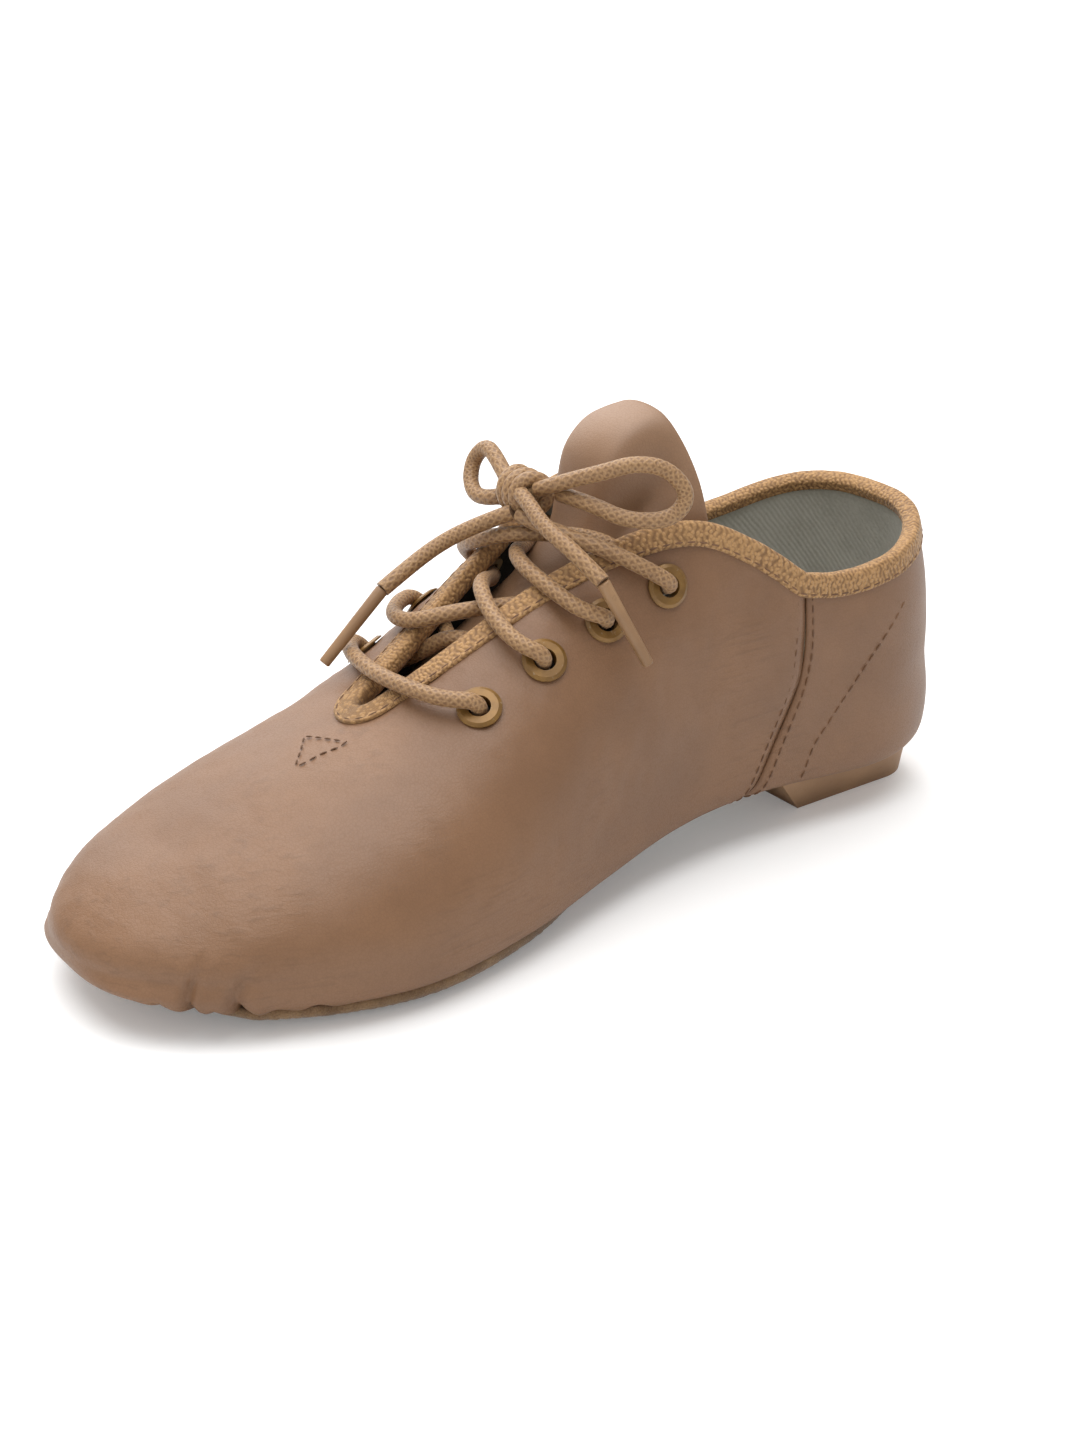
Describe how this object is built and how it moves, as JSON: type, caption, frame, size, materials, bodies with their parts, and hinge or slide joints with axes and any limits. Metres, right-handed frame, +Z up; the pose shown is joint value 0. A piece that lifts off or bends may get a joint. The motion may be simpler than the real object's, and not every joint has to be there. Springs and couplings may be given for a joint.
{
  "type": "lace-up split-sole dance shoe",
  "caption": "Low soft leather lace-up dance shoe with a split sole, bound collar, tongue, eyelets and tied lace.",
  "frame": {"origin": "centre of the shoe's outline on the floor, under the arch", "axes": "+Z up, -Y towards the toe, +X towards the side of the shoe that the free lace end hangs over"},
  "size_m": [0.0775, 0.2098, 0.0948],
  "materials": {
    "upper_leather": "satin tan grain leather",
    "lining": "matt grey-beige lining",
    "stay_tape": "woven tape",
    "binding_tape": "golden-tan knit tape",
    "counter_board": "fibre board",
    "lasting_board": "cellulose board",
    "filler_felt": "grey felt",
    "sock_foam": "cloth-faced foam",
    "suede": "brushed suede",
    "heel_rubber": "matt tan moulded rubber",
    "tack_steel": "plain steel",
    "eyelet_enamel": "satin tan enamel",
    "lace_cord": "waxed round braid",
    "aglet_plastic": "smooth brown film"
  },
  "bodies": {
    "forefoot": {"front_upper": "upper_leather", "front_lining": "lining", "near_eyelet_stay": "stay_tape", "far_eyelet_stay": "stay_tape", "topline_binding": "binding_tape", "forefoot_insole": "lasting_board", "forefoot_filler": "filler_felt", "sock_liner": "sock_foam", "arch_panel": "lining", "forefoot_sole": "suede", "near_eyelet_1": "eyelet_enamel", "near_eyelet_2": "eyelet_enamel", "near_eyelet_3": "eyelet_enamel", "near_eyelet_4": "eyelet_enamel", "far_eyelet_1": "eyelet_enamel", "far_eyelet_2": "eyelet_enamel", "far_eyelet_3": "eyelet_enamel", "far_eyelet_4": "eyelet_enamel", "lacing": "lace_cord", "near_bow_loop": "lace_cord", "far_bow_loop": "lace_cord", "near_lace_end": "lace_cord", "far_lace_end": "lace_cord", "lace_knot": "lace_cord", "near_aglet": "aglet_plastic", "far_aglet": "aglet_plastic"},
    "rear": {"back_upper": "upper_leather", "back_lining": "lining", "heel_counter": "counter_board", "near_seam_tape": "stay_tape", "far_seam_tape": "stay_tape", "heel_insole": "lasting_board", "heel_block": "heel_rubber", "heel_tacks": "tack_steel"},
    "tongue_flap": {"tongue": "upper_leather", "tongue_lining": "lining"}
  },
  "joints": [
    {"name": "arch_flex", "type": "hinge", "parent": "forefoot", "child": "rear", "pos_m": [0, 0.037, 0.045], "axis": [1, 0, 0], "range_deg": [-20, 0], "stiffness_Nm_per_rad": 1, "deforming": ["front_upper", "front_lining", "topline_binding", "sock_liner", "arch_panel"]},
    {"name": "tongue_tilt", "type": "hinge", "parent": "forefoot", "child": "tongue_flap", "pos_m": [0, -0.055, 0.036], "axis": [1, 0, 0], "range_deg": [-8, 0], "stiffness_Nm_per_rad": 0.1, "springref_deg": 5.73}
  ]
}
